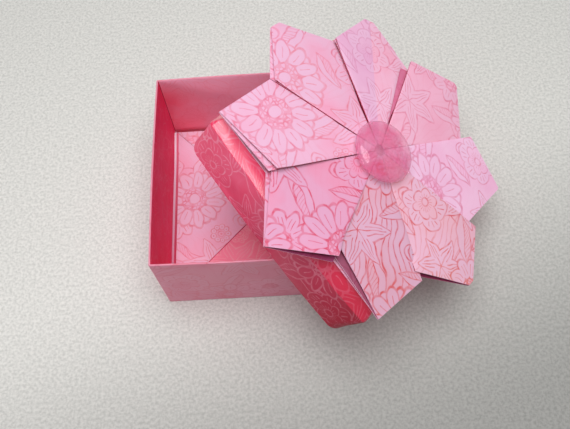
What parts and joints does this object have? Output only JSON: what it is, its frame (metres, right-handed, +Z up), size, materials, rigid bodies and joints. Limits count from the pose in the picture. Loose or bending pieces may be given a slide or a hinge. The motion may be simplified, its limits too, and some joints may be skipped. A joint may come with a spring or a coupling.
{
  "type": "masu box",
  "caption": "Open square box of folded printed paper with its lid leaning on it, the lid topped by a pinwheel star of folded kites round a glass cabochon.",
  "frame": {"origin": "middle of the base box's underside, on the table", "axes": "+Z up out of the base box's mouth, +X to the side that the lid leans down to, +Y away from the viewer"},
  "size_m": [0.1261, 0.1138, 0.0796],
  "materials": {
    "base_paper": "satin, printed on both sides",
    "lid_paper": "semi-gloss, printed on both sides",
    "star_paper": "satin, printed line pattern",
    "gem_glass": "polished, tinted"
  },
  "bodies": {
    "root": {"base_box": "base_paper", "lid_box": "lid_paper", "petal_1": "star_paper", "petal_2": "star_paper", "petal_3": "star_paper", "petal_4": "star_paper", "petal_5": "star_paper", "petal_6": "star_paper", "petal_7": "star_paper", "petal_8": "star_paper", "centre_gem": "gem_glass"}
  },
  "joints": []
}
